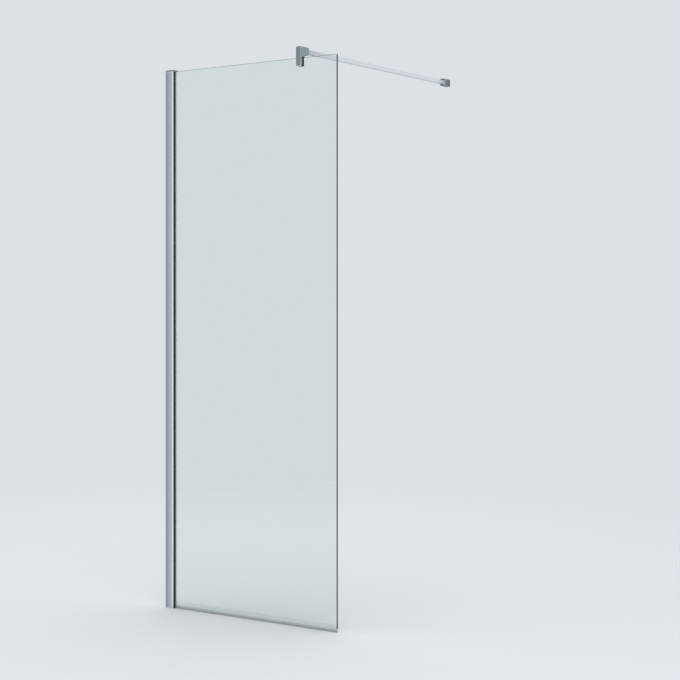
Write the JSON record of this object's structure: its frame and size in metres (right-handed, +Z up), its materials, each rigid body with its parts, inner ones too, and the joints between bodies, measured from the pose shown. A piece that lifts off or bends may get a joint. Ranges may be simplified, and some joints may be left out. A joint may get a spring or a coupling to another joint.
{
  "type": "walk-in shower screen",
  "caption": "Fixed glass shower screen with a telescopic wall profile, a clear bottom seal and a square stabiliser bar from a glass clamp to a wall bracket.",
  "frame": {"origin": "on the floor, at the face of the wall that holds the profile, in the middle of the glass's thickness", "axes": "+X along the glass from the profile's wall to the free edge, +Y from the glass towards the wall that holds the bar, +Z up"},
  "size_m": [0.7752, 1.018, 2.0385],
  "materials": {
    "profile_metal": "bright anodised, silver",
    "polished_chrome": "polished chrome plate",
    "clear_glass": "clear toughened glass with polished edges",
    "black_rubber": "matt black",
    "clear_seal": "clear, slightly milky",
    "grey_plastic": "satin grey",
    "black_steel": "satin black",
    "screw_steel": "stainless"
  },
  "bodies": {
    "wall_fixing": {"wall_channel": "profile_metal"},
    "screen": {"glazing_channel": "profile_metal", "channel_top_cap": "grey_plastic", "inner_gasket": "clear_seal", "outer_gasket": "black_rubber", "edge_packers": "grey_plastic", "setting_block": "grey_plastic", "lock_screws": "screw_steel", "lock_nut_plates": "screw_steel", "screw_caps": "grey_plastic", "glass_panel": "clear_glass", "bottom_seal": "clear_seal"},
    "brace": {"clamp_body": "polished_chrome", "clamp_saddle": "black_rubber", "clamp_jaw": "black_steel", "jaw_screws": "screw_steel", "clamp_bar_screw": "screw_steel", "stabiliser_bar": "polished_chrome"},
    "bracket": {"bracket_body": "polished_chrome", "bracket_base": "screw_steel", "bracket_bar_screw": "screw_steel", "bracket_lock_screw": "screw_steel"}
  },
  "joints": [
    {"name": "width_adjustment", "type": "slide", "parent": "wall_fixing", "child": "screen", "axis": [1, 0, 0], "range_m": [0, 0.015]},
    {"name": "clamp_along_glass", "type": "slide", "parent": "screen", "child": "brace", "axis": [1, 0, 0], "range_m": [-0.564, 0.141]},
    {"name": "bracket_along_bar", "type": "slide", "parent": "brace", "child": "bracket", "axis": [0, 1, 0], "range_m": [-0.01, 0.01]}
  ]
}
